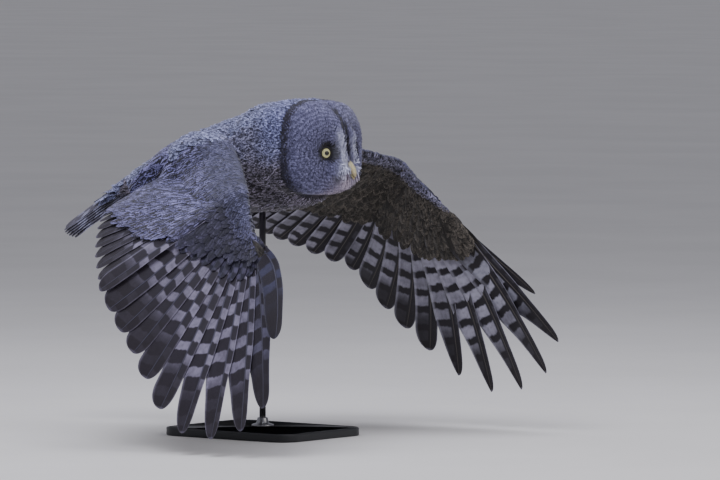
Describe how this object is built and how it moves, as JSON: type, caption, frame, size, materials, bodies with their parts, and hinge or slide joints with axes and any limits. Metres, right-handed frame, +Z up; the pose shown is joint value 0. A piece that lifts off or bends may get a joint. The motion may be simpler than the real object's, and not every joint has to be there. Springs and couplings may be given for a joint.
{
  "type": "great grey owl model",
  "caption": "Life-size great grey owl in flight at the end of a downstroke, a still display model held over a flat base by one short rod.",
  "frame": {"origin": "middle of the underside of the stand's base, on the floor", "axes": "+X the way the owl flies and faces, +Y the owl's left side, +Z up"},
  "size_m": [0.8285, 0.7472, 0.5769],
  "materials": {
    "plumage": "soft grey body plumage, mottled light and dark, matt",
    "flight_feathers": "dark brown-grey flight feathers with paler grey bars, slight sheen along the shafts",
    "bill_horn": "yellowish horn, smooth",
    "eye": "yellow iris with a black pupil under a wet clear cornea",
    "claw_horn": "near-black horn, polished",
    "stand_paint": "board with a satin charcoal lacquer",
    "stand_metal": "brushed steel"
  },
  "bodies": {
    "root": {"head": "plumage", "bill_upper": "bill_horn", "bill_lower": "bill_horn", "eye_left": "eye", "eye_right": "eye", "neck": "plumage", "torso": "plumage", "tail": "flight_feathers", "wing_left_arm": "flight_feathers", "wing_left_hand": "flight_feathers", "leg_left": "plumage", "foot_left": "plumage", "claw_left_1": "claw_horn", "claw_left_2": "claw_horn", "claw_left_3": "claw_horn", "claw_left_4": "claw_horn", "wing_right_arm": "flight_feathers", "wing_right_hand": "flight_feathers", "leg_right": "plumage", "foot_right": "plumage", "claw_right_1": "claw_horn", "claw_right_2": "claw_horn", "claw_right_3": "claw_horn", "claw_right_4": "claw_horn", "stand_base": "stand_paint", "stand_collar": "stand_metal", "stand_rod": "stand_metal"}
  },
  "joints": []
}
